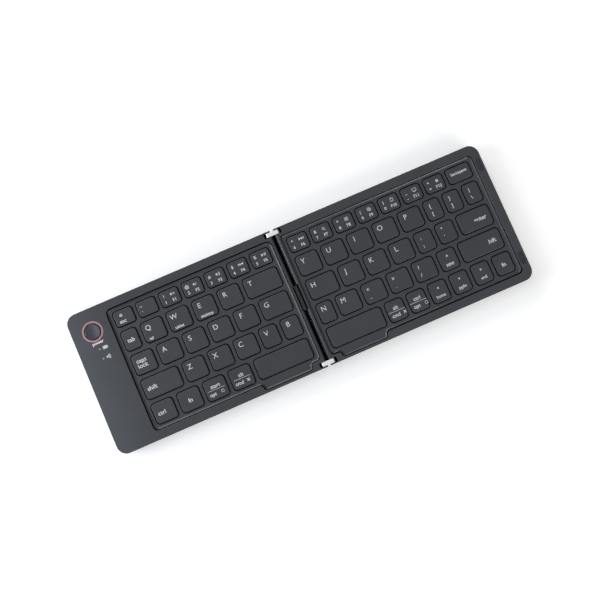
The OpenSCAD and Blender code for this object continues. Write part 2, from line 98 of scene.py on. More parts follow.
def add(tree, kind, settings=None, links=None):
    """A new shader node: settings set its own values or its inputs, links join its inputs."""
    node = tree.nodes.new(kind)
    for name, value in (settings or {}).items():
        if isinstance(name, int) or name in node.inputs:
            node.inputs[name].default_value = value
        else:
            setattr(node, name, value)
    for name, socket in (links or {}).items():
        tree.links.new(socket, node.inputs[name])
    return node


def new_finish(name):
    """An empty material: its tree, its Principled shader and the place on the part, in metres."""
    finish = bpy.data.materials.new(name)
    finish.use_nodes = True
    tree = finish.node_tree
    tree.nodes.clear()
    place = add(tree, "ShaderNodeTexCoord").outputs["Object"]
    skin = add(tree, "ShaderNodeBsdfPrincipled")
    add(tree, "ShaderNodeOutputMaterial", links={"Surface": skin.outputs[0]})
    return finish, tree, skin, place


def grain(tree, place, size, detail=2, settings=None):
    """Noise whose lumps are about `size` metres across."""
    values = {"Scale": 1 / size, "Detail": detail} | (settings or {})
    return add(tree, "ShaderNodeTexNoise", values, {"Vector": place}).outputs["Fac"]


def between(tree, value, low, high, start=0.3, end=0.7):
    """A value that runs from start to end, spread over low..high."""
    limits = {"From Min": start, "From Max": end, "To Min": low, "To Max": high}
    return add(tree, "ShaderNodeMapRange", limits, {"Value": value}).outputs["Result"]


def two_tone(tree, value, dark, light):
    """A colour that goes from dark to light with the value."""
    mix = add(tree, "ShaderNodeMix", {"data_type": "RGBA", 6: linear(dark), 7: linear(light)},
              {0: value})
    return mix.outputs[2]


def relief(tree, height, depth, skin):
    """Small unevenness of the surface: `depth` is its height in metres."""
    bump = add(tree, "ShaderNodeBump", {"Strength": 1, "Distance": depth}, {"Height": height})
    tree.links.new(bump.outputs["Normal"], skin.inputs["Normal"])


print("mid grey as a linear value:", round(linear("#808080")[0], 3))

# %% [markdown]
# ## Moulded plastics
# The covers, the key frames and the keys are ABS, shot in a steel mould whose faces were
# spark eroded. That leaves a fine pebbled grain: it spreads every highlight wide, so the dark
# grey looks soft and a little dusty. ABS has an IOR of about 1.54. The pebbles of the
# mould are 0.1 mm across, which no pixel can show, so they are drawn at 0.35 mm. The keys
# were sprayed with a satin lacquer that fills the grain a little, and the underside came
# from a coarser mould, which hides scratches.


# %% Textured ABS
def textured_abs(name, dark, light, roughness, pebble=0.35 * MM, depth=0.012 * MM):
    """ABS from a spark-eroded mould, in two close tones of one colour."""
    finish, tree, skin, place = new_finish(name)
    cloudy = grain(tree, place, 22 * MM)
    colour = two_tone(tree, between(tree, cloudy, 0, 1), dark, light)
    tree.links.new(colour, skin.inputs["Base Color"])
    worn = between(tree, grain(tree, place, 9 * MM, 3), roughness - 0.02, roughness + 0.02)
    tree.links.new(worn, skin.inputs["Roughness"])
    skin.inputs["IOR"].default_value = 1.54
    relief(tree, grain(tree, place, pebble, 1), depth, skin)
    return finish


case_abs = textured_abs("case_textured_abs", "#1f2228", "#25282e", 0.4)
base_abs = textured_abs("base_coarse_abs", "#1a1c20", "#1f2226", 0.55, 0.5 * MM, 0.02 * MM)
frame_abs = textured_abs("frame_textured_abs", "#1f2228", "#24282f", 0.42)
key_abs = textured_abs("key_satin_abs", "#1e2127", "#24272d", 0.45, 0.3 * MM, 0.008 * MM)
print("ABS finishes:", [m.name for m in (case_abs, base_abs, frame_abs, key_abs)])

# %% [markdown]
# The narrow gaps (round the key frames, round the keys and in the fold) lie in deep shade, and that
# shade is
# painted: their walls get a near-black finish whose specular level is far below that of bare
# plastic, so the gaps read as black lines. The skirts of the keys get the same painted shade, a
# little less dark, and only their tops carry the satin lacquer.
# The spine between the halves is ABS from a mould of its own, a shade lighter.

# %% Painted shade for the gaps and the key skirts
def painted_shade_black(name, colour, specular, roughness):
    """Painted shade: near black with little specular, and a fine uneven grain."""
    finish, tree, skin, place = new_finish(name)
    shade_noise = grain(tree, place, 0.3 * MM, 3)
    shade = two_tone(tree, between(tree, shade_noise, 0, 1), "#020203", colour)
    tree.links.new(shade, skin.inputs["Base Color"])
    skin.inputs["Specular IOR Level"].default_value = specular
    skin.inputs["Roughness"].default_value = roughness
    relief(tree, shade_noise, 0.02 * MM, skin)
    return finish


# painted shade: the gaps' walls are made near black, in place of the shade that their depth casts
painted_gap_shade = painted_shade_black("gap_painted_shade", "#070708", 0.08, 1)
# painted shade on the key skirts, a little less dark than in the gaps
skirt_painted_shade = painted_shade_black("skirt_painted_shade_black", "#0a0a0c", 0.3, 0.6)
spine_abs = textured_abs("spine_textured_abs", "#2c2f35", "#33363d", 0.5)
print("painted gap shades:", painted_gap_shade.name, skirt_painted_shade.name)

# %% [markdown]
# ## Metals
# The hinge links are die-cast zinc with a bright nickel plate, tumbled before plating, so
# they shine without being a mirror. Screws, magnets, pins and the port's shell are
# nickel-plated steel, a little duller. A metal's colour is its reflection, so the tone is
# pale and metallic is 1.


# %% Plated metal
def plated(name, colour, roughness, streak=None):
    """Nickel-plated metal; streak stretches its fine wear marks along X, Y or Z."""
    finish, tree, skin, place = new_finish(name)
    stretched = add(tree, "ShaderNodeVectorMath", {"operation": "MULTIPLY", 1: streak or (1, 1, 1)},
                    {0: place}).outputs[0]
    marks = grain(tree, stretched, 0.5 * MM, 3)
    shade = between(tree, marks, roughness - 0.06, roughness + 0.08)
    tree.links.new(shade, skin.inputs["Roughness"])
    skin.inputs["Base Color"].default_value = linear(colour)
    skin.inputs["Metallic"].default_value = 1
    relief(tree, marks, 0.004 * MM, skin)
    return finish


link_nickel = plated("link_bright_nickel", "#dcdde0", 0.24, (1, 0.15, 1))
steel_nickel = plated("steel_dull_nickel", "#b9babd", 0.34)
print("metals:", link_nickel.name, steel_nickel.name)

# %% [markdown]
# ## Rubber, film, foil and board
# The feet and bumpers are black silicone rubber, quite matt. Inside lie green circuit boards
# with a glossy solder resist over their copper tracks, black silicone domes, an amber
# polyimide cable and a battery in silver foil. They hardly show once the case is shut, but
# each has its own finish.


# %% Inner finishes
def rubber(name, colour, roughness):
    """Silicone rubber: matt, with the faint dust that sticks to it."""
    finish, tree, skin, place = new_finish(name)
    dust = between(tree, grain(tree, place, 1.2 * MM, 3), 0, 1, 0.45, 0.75)
    tree.links.new(two_tone(tree, dust, colour, "#2e2e30"), skin.inputs["Base Color"])
    skin.inputs["Roughness"].default_value = roughness
    skin.inputs["IOR"].default_value = 1.41
    relief(tree, grain(tree, place, 0.4 * MM), 0.01 * MM, skin)
    return finish


def solder_resist():
    """Green lacquer over copper tracks that stand a little proud."""
    finish, tree, skin, place = new_finish("board_green_resist")
    tracks = add(tree, "ShaderNodeTexVoronoi", {"Scale": 1 / (3 * MM), "distance": "MANHATTAN"},
                 {"Vector": place}).outputs["Distance"]
    on_track = between(tree, tracks, 1, 0, 0.36, 0.42)
    tree.links.new(two_tone(tree, on_track, "#14402c", "#1f5a3c"), skin.inputs["Base Color"])
    skin.inputs["Roughness"].default_value = 0.3
    relief(tree, on_track, 0.02 * MM, skin)
    return finish


def thin_sheet(name, dark, light, roughness, metallic, wrinkle):
    """Film or foil with soft wrinkles of the given size."""
    finish, tree, skin, place = new_finish(name)
    folds = grain(tree, place, wrinkle, 4)
    shade = two_tone(tree, between(tree, folds, 0, 1), dark, light)
    tree.links.new(shade, skin.inputs["Base Color"])
    skin.inputs["Roughness"].default_value = roughness
    skin.inputs["Metallic"].default_value = metallic
    relief(tree, folds, 0.1 * MM, skin)
    return finish


black_rubber = rubber("foot_black_rubber", "#151517", 0.75)
bumper_rubber = rubber("bumper_grey_rubber", "#232429", 0.65)
green_board = solder_resist()
dome_silicone = thin_sheet("dome_black_silicone", "#08080a", "#0e0e10", 0.7, 0, 6 * MM)
battery_foil = thin_sheet("battery_silver_foil", "#9a9ca0", "#b4b6b9", 0.35, 1, 8 * MM)
cable_film = thin_sheet("cable_amber_polyimide", "#9a5e14", "#b97a22", 0.3, 0, 3 * MM)
print("inner finishes:", green_board.name, dome_silicone.name, battery_foil.name, cable_film.name)

# %% [markdown]
# ## Light guides and the button
# The ring round the power button and the two status lights are clear polycarbonate, frosted
# and lit from below. They glow evenly, so a little emission is mixed into the plain plastic.
# The button is the same plastic in black, polished like piano lacquer.


# %% Lit and polished plastics
def light_guide(name, colour, glow, strength):
    """Frosted polycarbonate that glows."""
    finish, tree, skin, place = new_finish(name)
    frost = grain(tree, place, 0.6 * MM, 2)
    tree.links.new(two_tone(tree, between(tree, frost, 0, 1), colour, glow),
                   skin.inputs["Base Color"])
    skin.inputs["Emission Color"].default_value = linear(glow)
    skin.inputs["Emission Strength"].default_value = strength
    skin.inputs["Roughness"].default_value = 0.45
    skin.inputs["IOR"].default_value = 1.58
    relief(tree, frost, 0.01 * MM, skin)
    return finish


def piano_black():
    """Polished black polycarbonate with a few faint finger marks; its black is tinted blue as a
    painted reflection.
    """
    finish, tree, skin, place = new_finish("button_piano_black")
    smear = grain(tree, place, 3 * MM, 4)
    tree.links.new(between(tree, smear, 0.25, 0.31), skin.inputs["Roughness"])
    # the blue in this black is painted reflection: it makes the lamp's sheen in the hollow look
    # bluish
    skin.inputs["Base Color"].default_value = linear("#151a2a")
    skin.inputs["IOR"].default_value = 1.58
    relief(tree, smear, 0.004 * MM, skin)
    return finish


ring_glow = light_guide("ring_frosted_pink", "#8d686c", "#a67b80", 0.06)
light_glow = light_guide("status_frosted_white", "#85878c", "#9a9da3", 0.05)
button_black = piano_black()
print("lit parts:", ring_glow.name, light_glow.name, button_black.name)

# %% [markdown]
# ## The crowned panel and the sloped lips
# The control panel isn't flat: towards the left its top falls by a third of a millimetre, so
# that it catches more of the window's light. Round each key frame runs a lip, and its inner
# side is a ramp of about 35 degrees, which shows as a thin bright line. Both are too fine for
# the CAD solids. They could be bumps in a material, but then they would be missing from the
# side and in the exported mesh, so the points themselves are moved.


# %% Crown the panel and slope the lips
CROWN_X = -128 * MM  # the control panel's top falls away to the left from here
CROWN_DROP = 0.35 * MM
CROWN_STRIPS = 8
LIP_H = (0.3 * MM, 0.9 * MM)  # how far a lip stands above the webs: at least, at most
LIP_RAMP = 0.85 * MM  # how far its ramp reaches inwards
UPRIGHT = 0.1  # a wall's normal rises or falls less than this
LEVEL = 0.9  # and a floor's normal rises more than this


def strip_x(step):
    """Where one strip of the panel ends and the next begins."""
    return CROWN_X + (cad_box[0].x - CROWN_X) * step / CROWN_STRIPS


def crown(x):
    """How far the panel's top has fallen at x: a parabola, drawn as flat strips."""
    reach = min(max((CROWN_X - x) / (CROWN_X - cad_box[0].x), 0), 0.999) * CROWN_STRIPS
    step = int(reach)
    falls = [CROWN_DROP * (n / CROWN_STRIPS) ** 2 for n in (step, step + 1)]
    return falls[0] + (reach - step) * (falls[1] - falls[0])


def slope_lip(mesh, top):
    """Leans the inner side of a key frame's lip outwards, into a ramp."""
    moves = {}
    for corner in mesh.verts:
        below = [edge.other_vert(corner).co.z for edge in corner.link_edges]
        if corner.co.z > top and any(LIP_H[0] < top - z < LIP_H[1] for z in below):
            walls = [face.normal for face in corner.link_faces if abs(face.normal.z) < UPRIGHT]
            if walls:
                middle = sum(walls, Vector()).normalized()
                moves[corner] = middle * -LIP_RAMP / max(0.5, middle.dot(walls[0]))
    for corner, move in moves.items():
        corner.co += move
    return len(moves)


print("the panel's left edge lies lower, in mm:", round(crown(cad_box[0].x) / MM, 2))

# %% [markdown]
# ## Soft moulded edges
# No moulded or cast part has a knife edge: the mould's corners are rounded so that the
# plastic flows and lets go. The CAD solids are sharp, and it is the thin bright lines on
# rounded edges that tell the eye how light falls. Each edge could be filleted in the CAD,
# but it is quicker here: the part is copied, its triangles are joined back into whole faces,
# and a bevel rounds every edge that turns by more than 25 degrees. The copy then stands for
# the CAD part. Where a part has very short edges, Blender holds the whole bevel back to a
# hair's width, so that no face folds over: the bottom covers stay crisp for that reason. The
# top covers must not, so they are rounded without that limit, but only round the opening,
# away from the holes for the ring, the lights and the bumpers.


# %% Soften a CAD part
SHARP = radians(25)
TOP_Z = cad_box[1].z
INK_T = 0.03 * MM  # the printed film's thickness, which stays inside the CAD's height
ON_TOP = 0.02 * MM  # an edge this near to a part's highest point is one of its top edges
CROWNED = 0.1 * MM  # what lies this near to the case's top follows the crown
BEVEL_STEPS = 3


def round_opening(edge, low, high):
    """Whether a cover's edge runs round its opening, which is smaller than the key frame in it."""
    spots = [corner.co for corner in edge.verts]
    return all(low.x < spot.x < high.x and low.y < spot.y < high.y for spot in spots)


def whole_faces(node, side_share, top_share):
    """A clean mesh of a CAD node: corners joined, flat triangles merged into whole faces.
    Sharp edges get a weight for the rounding, which may differ on the top."""
    source = frame["nodes"][node].data
    corners = {}
    index = [corners.setdefault(tuple(round(c, 7) for c in v.co), len(corners))
             for v in source.vertices]
    clean = bpy.data.meshes.new(node + "_soft")
    faces = [[index[i] for i in face.vertices] for face in source.polygons]
    clean.from_pydata(list(corners), [], [f for f in faces if len(set(f)) == len(f)])
    mesh = bmesh.new()
    mesh.from_mesh(clean)
    bmesh.ops.dissolve_limit(mesh, angle_limit=radians(1), verts=mesh.verts, edges=mesh.edges)
    for step in range(CROWN_STRIPS):
        parts = mesh.verts[:] + mesh.edges[:] + mesh.faces[:]
        bmesh.ops.bisect_plane(mesh, geom=parts, plane_co=(strip_x(step), 0, 0),
                               plane_no=(1, 0, 0))
    if "key_frame" in node:
        top = max(corner.co.z for corner in mesh.verts) - ON_TOP
        print(node, "lip corners moved:", slope_lip(mesh, top))
        mesh.normal_update()
    is_cover = "top_cover" in node
    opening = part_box(node.replace("top_cover", "key_frame")) if is_cover else None
    weight = mesh.edges.layers.float.new("bevel_weight_edge")
    top = max(corner.co.z for corner in mesh.verts) - ON_TOP
    for edge in mesh.edges:
        if edge.calc_face_angle(0) > SHARP:
            on_top = min(corner.co.z for corner in edge.verts) > top
            share = top_share if on_top else side_share
            if opening and not round_opening(edge, *opening):
                share = 0
            edge[weight] = share
            edge.smooth = share > 0
    mesh.to_mesh(clean)
    mesh.free()
    return clean


def show(name, mesh, finish, body, slot, *replaced):
    """A new piece of the visible model: its finish, its body, and the CAD part it stands for."""
    piece = bpy.data.objects.new(name, mesh)
    bpy.context.scene.collection.objects.link(piece)
    mesh.materials.clear()
    mesh.materials.append(finish)
    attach(piece, body)
    if replaced:
        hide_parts(*replaced)
    return piece


def soften(node, finish, slot, radius, top_radius=None):
    """The CAD node again, with its sharp edges rounded, and those on its top perhaps otherwise."""
    top_radius = top_radius or radius
    widest = max(radius, top_radius)
    body = frame["nodes"][node]["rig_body"]
    mesh = whole_faces(node, radius / widest, top_radius / widest)
    for corner in mesh.vertices:
        on_top = corner.co.z > TOP_Z - CROWNED
        corner.co.z = min(corner.co.z, TOP_Z - INK_T) - on_top * crown(corner.co.x)
    piece = show(node + "_soft", mesh, finish, body, slot, node)
    bevel = piece.modifiers.new("mould_radius", "BEVEL")
    bevel.width = widest
    bevel.segments = BEVEL_STEPS
    bevel.limit_method = "WEIGHT"
    bevel.harden_normals = True
    bevel.use_clamp_overlap = "top_cover" not in node  # short edges in a corner would stop it
    bevel.miter_outer = "MITER_ARC"
    mesh.polygons.foreach_set("use_smooth", [True] * len(mesh.polygons))
    return piece


print("edges are rounded where they turn by more than", round(SHARP * 180 / pi), "degrees")

# %% [markdown]
# ## Painted shade in the gaps
# The walls of the narrow gaps get the painted shade as a second finish, in place of the shade that
# their depth would cast. A separate lining could be modelled, but it would be thinner than its own
# glue, so the faces are chosen by where they lie and how they lean. On two sides of each cover the
# groove round the key frame looks wider, because no frame sits quite in the middle: there the
# rounded edge gets the painted shade too.


# %% Choose the walls of the gaps
FOLD_EDGE = 2 * MM  # the covers' walls that face the fold lie nearer to the middle than this
RIM_W = 3 * MM  # a cover's outer walls lie further out than this from its inner ones
GROOVE_FLOOR = 6.8 * MM  # above the frame's ledge and below its webs
HOOD_SIDE = -10 * MM  # between the left key frame's last keys and the hood's notch
EDGE_Z = 0.99  # a rounded edge's normals lean more than this one
EDGE_OUT = 0.15  # and point at least so much towards the groove


def shade_gaps(piece, shade_finish, in_gap):
    """Gives painted shade, as a second finish, to those faces of a piece that pass the test."""
    piece.data.materials.append(shade_finish)
    found = [face for face in piece.data.polygons if in_gap(face)]
    for face in found:
        face.material_index = 1
    print(piece.name, "painted shade faces:", len(found))


def worked_in(piece):
    """The piece with its rounding made part of its mesh, so that its faces can be told apart."""
    rounded = piece.evaluated_get(bpy.context.evaluated_depsgraph_get())
    mesh = bpy.data.meshes.new_from_object(rounded)
    piece.modifiers.clear()
    piece.data = mesh
    return piece


def inner_wall(face, steepest=UPRIGHT):
    """A cover's wall inside its opening, its panel holes or its notch."""
    x, y = abs(face.center.x), abs(face.center.y)
    inside = FOLD_EDGE < x < cad_box[1].x - RIM_W and y < cad_box[1].y - RIM_W
    return inside and -UPRIGHT < face.normal.z < steepest


def groove_wall(side):
    """A test for the same walls and, where the groove is wider, for the rounded edge above them."""
    rear_or_front = {"left": -1, "right": 1}[side]

    def passes(face):
        beside_frame = face.center.x > CROWN_X and not HOOD_SIDE < face.center.x < FOLD_EDGE
        facing = max(face.normal.x, face.normal.y * rear_or_front)
        edge = beside_frame and facing > EDGE_OUT and inner_wall(face, EDGE_Z)
        return edge or inner_wall(face)

    return passes


def frame_side(face):
    """A key frame's walls, and its ledge under the cover, which is the groove's floor."""
    floor = face.normal.z > LEVEL and face.center.z < GROOVE_FLOOR
    return floor or abs(face.normal.z) < UPRIGHT


def notch_wall(face):
    """The lip inside a bottom cover, which shows through the hood's notch."""
    return face.normal.z > LEVEL


# %% Soften the parts and paint shade into their gaps
for side in ("left", "right"):
    cover = worked_in(soften(side + "_top_cover", case_abs, "case", 0, 0.4 * MM))
    # painted shade on the groove's walls and, on two sides, on the rounded edge above them
    shade_gaps(cover, painted_gap_shade, groove_wall(side))
    base = soften(side + "_bottom_cover", base_abs, "case", 0.3 * MM)
    # painted shade on the lip that shows through the hood's notch
    shade_gaps(base, painted_gap_shade, notch_wall)
    key_frame = soften(side + "_key_frame", frame_abs, "frame", 0.25 * MM, 0.07 * MM)
    # painted shade on the frame's walls and on its ledge, the groove's floor
    shade_gaps(key_frame, painted_gap_shade, frame_side)
soften("hinge_links", link_nickel, "link", 0.45 * MM)
HOOD_LOW = 3 * MM  # the spine's low bar ends here, and only the hood stands higher
spine = soften("spine_cover", spine_abs, "spine", 0.1 * MM, 0.35 * MM)
# painted shade on the spine's low bar, deep in the fold; the hood above keeps its plastic
shade_gaps(spine, painted_gap_shade, lambda face: face.center.z < HOOD_LOW)
soften("button_ring", ring_glow, "ring", 0.12 * MM)
soften("status_lights", light_glow, "light", 0.2 * MM)
soften("right_bumpers", bumper_rubber, "foot", 0.2 * MM)
for side in ("left", "right"):
    soften(side + "_feet", black_rubber, "foot", 0.2 * MM)

# %% [markdown]
# ## Key caps
# A key cap is a thin shell. Its top is dished by about a tenth of a millimetre, so that a
# finger finds its middle, and its rim is rounded. It could be bevelled like the covers, but a
# dish needs rings of points across the top. So each cap is lofted: one outline, a rounded
# rectangle, is drawn again and again, first up the inside, then round the skirt, over the rim
# and in across the dish.


# %% Loft a key cap
RIM_R = 0.5 * MM  # rounding of the top edge
DRAFT = 0.15 * MM  # the sides lean inwards by this much, so that the cap leaves its mould
RIM_STEPS = 4
CORNER_STEPS = 6
DISH = 0.1 * MM
DISH_RINGS = (0, 0.12, 0.3, 0.5, 0.7, 0.88)  # where they lie, from the rim to the middle
SHELL_T = 0.8 * MM
SKIRT_T = 1.2 * MM
NUMBER_KEY_D = 11 * MM  # a key shallower than this has the smaller corners
CORNER_R = {True: 2.0 * MM, False: 2.4 * MM}
LEAST_ROUND = 0.25  # an inner ring's corners keep this share of its half width


def dished(low, high, x, y):
    """Height of the dished top at x, y."""
    across = (2 * x - low.x - high.x) / (high.x - low.x)
    along = (2 * y - low.y - high.y) / (high.y - low.y)
    return high.z - DISH * max(0, 1 - across ** 2) * max(0, 1 - along ** 2)


def outline(low, high, inset, height=None):
    """A rounded rectangle inside the key's box; without a height it lies on the dished top."""
    small = high.y - low.y < NUMBER_KEY_D
    half = min(high.x - low.x, high.y - low.y) / 2
    r = max(CORNER_R[small] - inset, LEAST_ROUND * (half - inset))
    points = []
    for turn in range(4):
        x = high.x - inset - r if turn in (0, 3) else low.x + inset + r
        y = high.y - inset - r if turn in (0, 1) else low.y + inset + r
        for step in range(CORNER_STEPS + 1):
            angle = (turn + step / CORNER_STEPS) * pi / 2
            px, py = x + r * cos(angle), y + r * sin(angle)
            points.append((px, py, dished(low, high, px, py) if height is None else height))
    return points


def loft(mesh, rings):
    """Joins rings of points into a skin and closes both its ends."""
    loops = [[mesh.verts.new(p) for p in ring] for ring in rings]
    for below, above in zip(loops, loops[1:]):
        for i in range(len(below)):
            j = (i + 1) % len(below)
            mesh.faces.new((below[i], below[j], above[j], above[i]))
    mesh.faces.new(reversed(loops[0]))
    mesh.faces.new(loops[-1])


def key_shell(mesh, low, high):
    """One key cap, from the middle of its hollow underside to the middle of its top."""
    roof = high.z - SHELL_T
    half = min(high.x - low.x, high.y - low.y) / 2
    rings = [outline(low, high, SKIRT_T, roof), outline(low, high, SKIRT_T, low.z),
             outline(low, high, 0, low.z), outline(low, high, DRAFT, high.z - RIM_R)]
    for step in range(1, RIM_STEPS):
        angle = step / RIM_STEPS * pi / 2
        inset = DRAFT + RIM_R * (1 - cos(angle))
        rings.append(outline(low, high, inset, high.z - RIM_R * (1 - sin(angle))))
    rim = DRAFT + RIM_R
    rings += [outline(low, high, rim + (half - rim) * part) for part in DISH_RINGS]
    loft(mesh, rings)


print("rings over a cap's rim and dish:", RIM_STEPS + len(DISH_RINGS))

# %% [markdown]
# Keys that share a CAD node are told apart by their corners: points that are joined by faces
# belong to one key. Each gives one box, sorted by row from the rear and then from left to
# right, the order in which the printed signs are listed below.


# %% Find the keys and make their caps
SAME_SPOT = 0.001 * MM
ROW_STEP = 2 * MM  # keys of one row end at the same step
STEM_REACH = 0.6 * MM  # the stem under a cap reaches this much lower than its skirt
SKIRT_Z = 0.45  # the skirt's normals rise less than this, the lacquered rim's rise more
CAP_CREASE = radians(50)


def key_boxes(node):
    """The box of each key in a CAD node, by rows from the rear, left to right."""
    mesh = bmesh.new()
    mesh.from_mesh(frame["nodes"][node].data)
    bmesh.ops.remove_doubles(mesh, verts=mesh.verts, dist=SAME_SPOT)
    unseen = set(mesh.verts)
    boxes = []
    while unseen:
        found = [unseen.pop()]
        for corner in found:
            near = {edge.other_vert(corner) for edge in corner.link_edges} & unseen
            unseen -= near
            found.extend(near)
        places = [v.co for v in found]
        boxes.append((Vector(min(p[i] for p in places) for i in range(3)),
                      Vector(max(p[i] for p in places) for i in range(3))))
    mesh.free()
    return sorted(boxes, key=lambda box: (-round(box[1].y / ROW_STEP), box[0].x))


keys = {}
for node in frame["nodes"]:
    if "key" in node and "frame" not in node:
        boxes = [(low + Vector((0, 0, STEM_REACH)), high) for low, high in key_boxes(node)]
        keys[node] = boxes
        mesh = bmesh.new()
        for low, high in boxes:
            key_shell(mesh, low, high)
        caps = bpy.data.meshes.new(node + "_cap")
        mesh.to_mesh(caps)
        mesh.free()
        piece = show(node + "_cap", caps, key_abs, node, "key", node)
        caps.polygons.foreach_set("use_smooth", [True] * len(caps.polygons))
        caps.set_sharp_from_angle(angle=CAP_CREASE)
        # the skirts get painted shade, as if the gap beside each key hid them in shade
        shade_gaps(piece, skirt_painted_shade, lambda face: abs(face.normal.z) < SKIRT_Z)
print("keys:", sum(len(boxes) for boxes in keys.values()), "in", len(keys), "nodes")

# %% [markdown]
# ## Printed signs
# The signs are pad printed: a silicone pad stamps a thin film of white ink on the finished
# cap. An image could be laid on the caps, but a real film keeps its sharp edge at any
# distance. So each word or mark is a flat shape 0.03 mm thick that is bent onto the dish. The
# word beside the button is a clear window in the black, lit from below, so its ink glows.


# %% White ink
def printed_ink(name, colour, glow=0.0):
    """Pad-printing ink, a little uneven where the pad pressed less."""
    finish, tree, skin, place = new_finish(name)
    pressed = between(tree, grain(tree, place, 0.7 * MM, 3), 0, 1)
    tree.links.new(two_tone(tree, pressed, "#b9bbbe", colour), skin.inputs["Base Color"])
    skin.inputs["Roughness"].default_value = 0.45
    skin.inputs["Emission Color"].default_value = linear(colour)
    skin.inputs["Emission Strength"].default_value = glow
    relief(tree, pressed, 0.004 * MM, skin)
    return finish


white_ink = printed_ink("sign_white_ink", "#e6e8ea")
lit_ink = printed_ink("sign_lit_window", "#efc9cc", 0.3)
print("inks:", white_ink.name, lit_ink.name)

# %% [markdown]
# Marks are put together from bars, discs, rings and triangles, in units of half their height.
# They are the plain signs that any keyboard may carry, each drawn from scratch.

# %% Flat shapes for the marks
ARC_STEP = 20


def ring(x, y, r, width, start=0, end=360):
    """Four-sided pieces along an arc."""
    steps = max(2, round((end - start) / ARC_STEP))
    turns = [radians(start + (end - start) * i / steps) for i in range(steps + 1)]
    edge = [[(x + q * cos(t), y + q * sin(t)) for t in turns] for q in (r, r - width)]
    return [[edge[0][i], edge[0][i + 1], edge[1][i + 1], edge[1][i]] for i in range(steps)]


def disc(x, y, r):
    """A round dot."""
    return [[(x + r * cos(radians(a)), y + r * sin(radians(a))) for a in range(0, 360, ARC_STEP)]]


def bar(x0, y0, x1, y1, width=0.24):
    """A stroke with square ends."""
    long = sqrt((x1 - x0) ** 2 + (y1 - y0) ** 2)
    dx, dy = (x1 - x0) / long * width / 2, (y1 - y0) / long * width / 2
    return [[(x0 + dy, y0 - dx), (x1 + dy, y1 - dx), (x1 - dy, y1 + dx), (x0 - dy, y0 + dx)]]


def box_line(x, y, w, h, width=0.22):
    """The outline of a box round x, y."""
    sides = [(-w, -h, w, -h), (w, -h, w, h), (w, h, -w, h), (-w, h, -w, -h)]
    return [b for a in sides for b in bar(x + a[0], y + a[1], x + a[2], y + a[3], width)]


def arrow(x, y, r, angle):
    """A triangle that points along the angle."""
    turns = [radians(angle + a) for a in (0, 120, 240)]
    return [[(x + r * cos(t), y + r * sin(t)) for t in turns]]


speaker = [[(-1.5, -0.35), (-1.0, -0.35), (-0.45, -0.9), (-0.45, 0.9), (-1.0, 0.35), (-1.5, 0.35)]]
MARKS = {
    "round": ring(0, 0, 0.9, 0.3) + disc(0, 0, 0.3),
    "mute": speaker + bar(0.2, -0.5, 1.2, 0.5) + bar(0.2, 0.5, 1.2, -0.5),
    "quieter": speaker + ring(-0.4, 0, 0.9, 0.26, -50, 50),
    "louder": speaker + ring(-0.4, 0, 0.9, 0.26, -50, 50) + ring(-0.4, 0, 1.5, 0.26, -50, 50),
    "back": bar(-1.5, -0.8, -1.5, 0.8) + arrow(-0.5, 0, 0.85, 180) + arrow(0.9, 0, 0.85, 180),
    "play": arrow(-0.8, 0, 0.95, 0) + bar(0.6, -0.8, 0.6, 0.8, 0.3) + bar(1.2, -0.8, 1.2, 0.8, 0.3),
    "next": arrow(-0.9, 0, 0.85, 0) + arrow(0.5, 0, 0.85, 0) + bar(1.5, -0.8, 1.5, 0.8),
    "search": ring(-0.2, 0.2, 0.75, 0.25) + bar(0.3, -0.3, 0.9, -0.9, 0.3),
    "select": box_line(0, 0, 0.85, 0.85) + disc(0, 0, 0.4),
    "copy": box_line(-0.25, 0.25, 0.65, 0.65) + box_line(0.3, -0.3, 0.65, 0.65),
    "paste": box_line(0, -0.1, 0.75, 0.85) + bar(-0.35, 0.9, 0.35, 0.9, 0.4),
    "screen": box_line(0, 0.2, 1.1, 0.75) + bar(-0.6, -0.95, 0.6, -0.95),
    "padlock": [[(-0.7, -0.95), (0.7, -0.95), (0.7, 0.1), (-0.7, 0.1)]]
               + ring(0, 0.1, 0.6, 0.22, 0, 180),
    "up": arrow(0, -0.1, 0.9, 90),
    "down": arrow(0, 0.1, 0.9, 270),
    "left": arrow(0.1, 0, 0.9, 180),
    "right": arrow(-0.1, 0, 0.9, 0),
    "line": bar(-5.5, 0, 5.5, 0, 0.2),
    "square": box_line(0, 0, 0.8, 0.8),
    "cross square": box_line(0, 0, 0.55, 0.55) + bar(-1, -1, 1, 1, 0.2) + bar(-1, 1, 1, -1, 0.2),
    "cell": box_line(-0.15, 0, 1.4, 0.85, 0.3) + bar(1.55, -0.4, 1.55, 0.4, 0.45)
            + bar(-1.2, 0, 0.9, 0, 1.2),
    "waves": disc(-0.9, 0, 0.5) + ring(-0.9, 0, 1.25, 0.38, -55, 55)
             + ring(-0.9, 0, 2.0, 0.38, -50, 50),
}
print("marks drawn:", len(MARKS))

# %% [markdown]
# Words come from Blender's own plain font. Its outlines are turned into faces, and walls of the
# film's thickness join the top to the underside. Small words get a slightly wider stroke, as
# ink spreads a little. Signs are placed in millimetres from a key's left and rear edges, as a
# printer would.


# %% Words as flat shapes
CAP_SHARE = 0.682  # height of a capital in the font, as a share of its size
BOLD_BELOW = 3 * MM  # the smaller words are printed bolder
EXTRA_STROKE = 0.05 * MM
INK_ABOVE = INK_T * 0.7
INK_BELOW = INK_T * 0.3  # so far the film bites into the plastic


